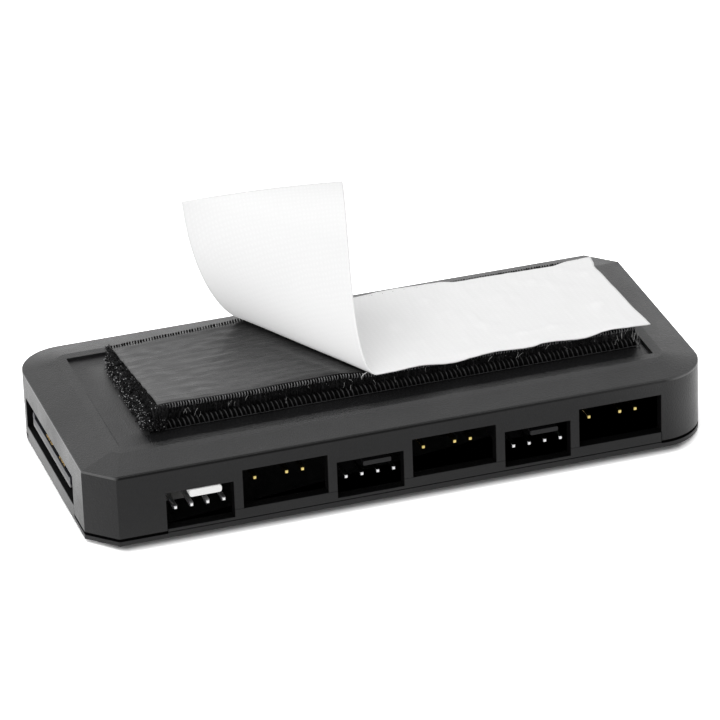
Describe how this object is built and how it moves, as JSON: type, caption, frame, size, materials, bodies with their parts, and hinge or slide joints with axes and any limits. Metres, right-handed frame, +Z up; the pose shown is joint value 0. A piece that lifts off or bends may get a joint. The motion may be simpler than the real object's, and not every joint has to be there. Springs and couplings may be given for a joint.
{
  "type": "pc fan controller hub",
  "caption": "Flat black plastic hub that shares fan and addressable light signals between header ports along both long sides, with a supply inlet at one end and a peel-off mounting tape.",
  "frame": {"origin": "middle of the case outline on the flat face that it rests on", "axes": "+X along the case away from the supply inlet, +Y towards the far bank of ports, +Z up through the mounting tape"},
  "size_m": [0.1, 0.0462, 0.0383],
  "materials": {
    "casing": "fine grained matte black plastic",
    "cover": "fine grained matte black plastic",
    "board": "black solder mask with tinned pads",
    "white_nylon": "natural white nylon",
    "black_nylon": "black nylon",
    "tinned_pin": "bright tin plate on brass",
    "gilt_pin": "thin gold plate on brass",
    "inlet_plastic": "black glass filled plastic",
    "screw_steel": "zinc plated steel",
    "chip_epoxy": "moulded black epoxy with tinned legs",
    "capacitor_can": "bare aluminium can on a black base",
    "chip_ceramic": "tan ceramic with tinned ends",
    "hook_fabric": "black woven tape with nylon hooks",
    "loop_fabric": "black woven tape with nylon loops",
    "film": "black adhesive film with faint long streaks",
    "liner": "white silicone coated paper with a faint woven emboss"
  },
  "bodies": {
    "root": {"casing": "casing", "cover": "cover", "circuit_board": "board", "fan_header_1": "white_nylon", "fan_header_2": "black_nylon", "fan_header_3": "black_nylon", "fan_header_4": "black_nylon", "fan_header_5": "black_nylon", "fan_header_6": "black_nylon", "fan_pins_1": "tinned_pin", "fan_pins_2": "tinned_pin", "fan_pins_3": "tinned_pin", "fan_pins_4": "tinned_pin", "fan_pins_5": "tinned_pin", "fan_pins_6": "tinned_pin", "light_header_1": "black_nylon", "light_header_2": "black_nylon", "light_header_3": "black_nylon", "light_header_4": "black_nylon", "light_header_5": "black_nylon", "light_header_6": "black_nylon", "light_pins_1": "gilt_pin", "light_pins_2": "gilt_pin", "light_pins_3": "gilt_pin", "light_pins_4": "gilt_pin", "light_pins_5": "gilt_pin", "light_pins_6": "gilt_pin", "power_housing": "inlet_plastic", "power_contacts": "gilt_pin", "board_screws": "screw_steel", "controller_chip": "chip_epoxy", "regulator": "chip_epoxy", "power_switches": "chip_epoxy", "capacitors": "capacitor_can", "small_chips": "chip_ceramic", "hook_tape": "hook_fabric", "loop_tape": "loop_fabric", "adhesive_film": "film", "release_liner": "liner"}
  },
  "joints": []
}
